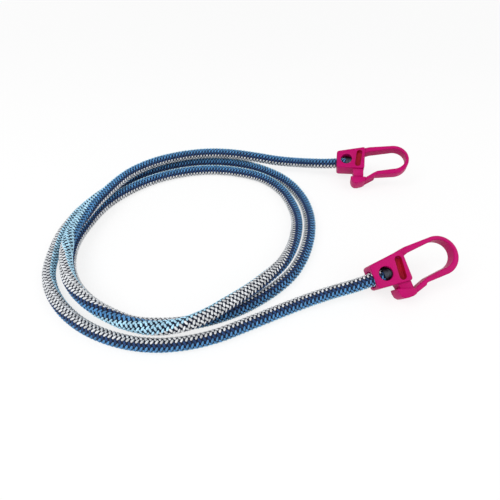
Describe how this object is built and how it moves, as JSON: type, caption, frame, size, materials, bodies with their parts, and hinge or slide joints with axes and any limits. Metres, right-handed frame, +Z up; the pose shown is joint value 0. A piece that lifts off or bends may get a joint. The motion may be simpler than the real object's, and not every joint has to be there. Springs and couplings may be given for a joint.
{
  "type": "bungee cord",
  "caption": "Braided elastic stretch cord, loosely coiled, with a moulded plastic snap hook crimped on each end. Each hook's flexible arm closes its eye.",
  "frame": {"origin": "on the plane the cord lies on, under the middle of the two hooks", "axes": "+Z up from the plane; +Y from hook_b to hook_a; +X from the hooks' sockets to their eyes, with the coil on the -X side"},
  "size_m": [0.3239, 0.2344, 0.0344],
  "materials": {
    "moulded_hook": "satin moulded plastic",
    "moulded_arm": "satin moulded plastic",
    "crimp": "dull crimped steel",
    "braid": "braided polyester yarn in blue, navy and grey",
    "core_rubber": "natural rubber strands"
  },
  "bodies": {
    "cord_and_hooks": {"hook_a_frame": "moulded_hook", "hook_a_ferrule": "crimp", "hook_b_frame": "moulded_hook", "hook_b_ferrule": "crimp", "cord_sheath": "braid", "core_strand_1": "core_rubber", "core_strand_2": "core_rubber", "core_strand_3": "core_rubber", "core_strand_4": "core_rubber", "core_strand_5": "core_rubber", "core_strand_6": "core_rubber", "core_strand_7": "core_rubber"},
    "arm_a": {"hook_a_latch": "moulded_arm"},
    "arm_b": {"hook_b_latch": "moulded_arm"}
  },
  "joints": [
    {"name": "hook_a_arm_flex", "type": "hinge", "parent": "cord_and_hooks", "child": "arm_a", "pos_m": [0.02956, 0.06211, 0.02007], "axis": [-0.1818, -0.4811, 0.8576], "range_deg": [-4, 14], "stiffness_Nm_per_rad": 1.5},
    {"name": "hook_b_arm_flex", "type": "hinge", "parent": "cord_and_hooks", "child": "arm_b", "pos_m": [0.03072, -0.06381, 0.01892], "axis": [0.0447, -0.5393, 0.8409], "range_deg": [0, 14], "stiffness_Nm_per_rad": 1.5}
  ]
}
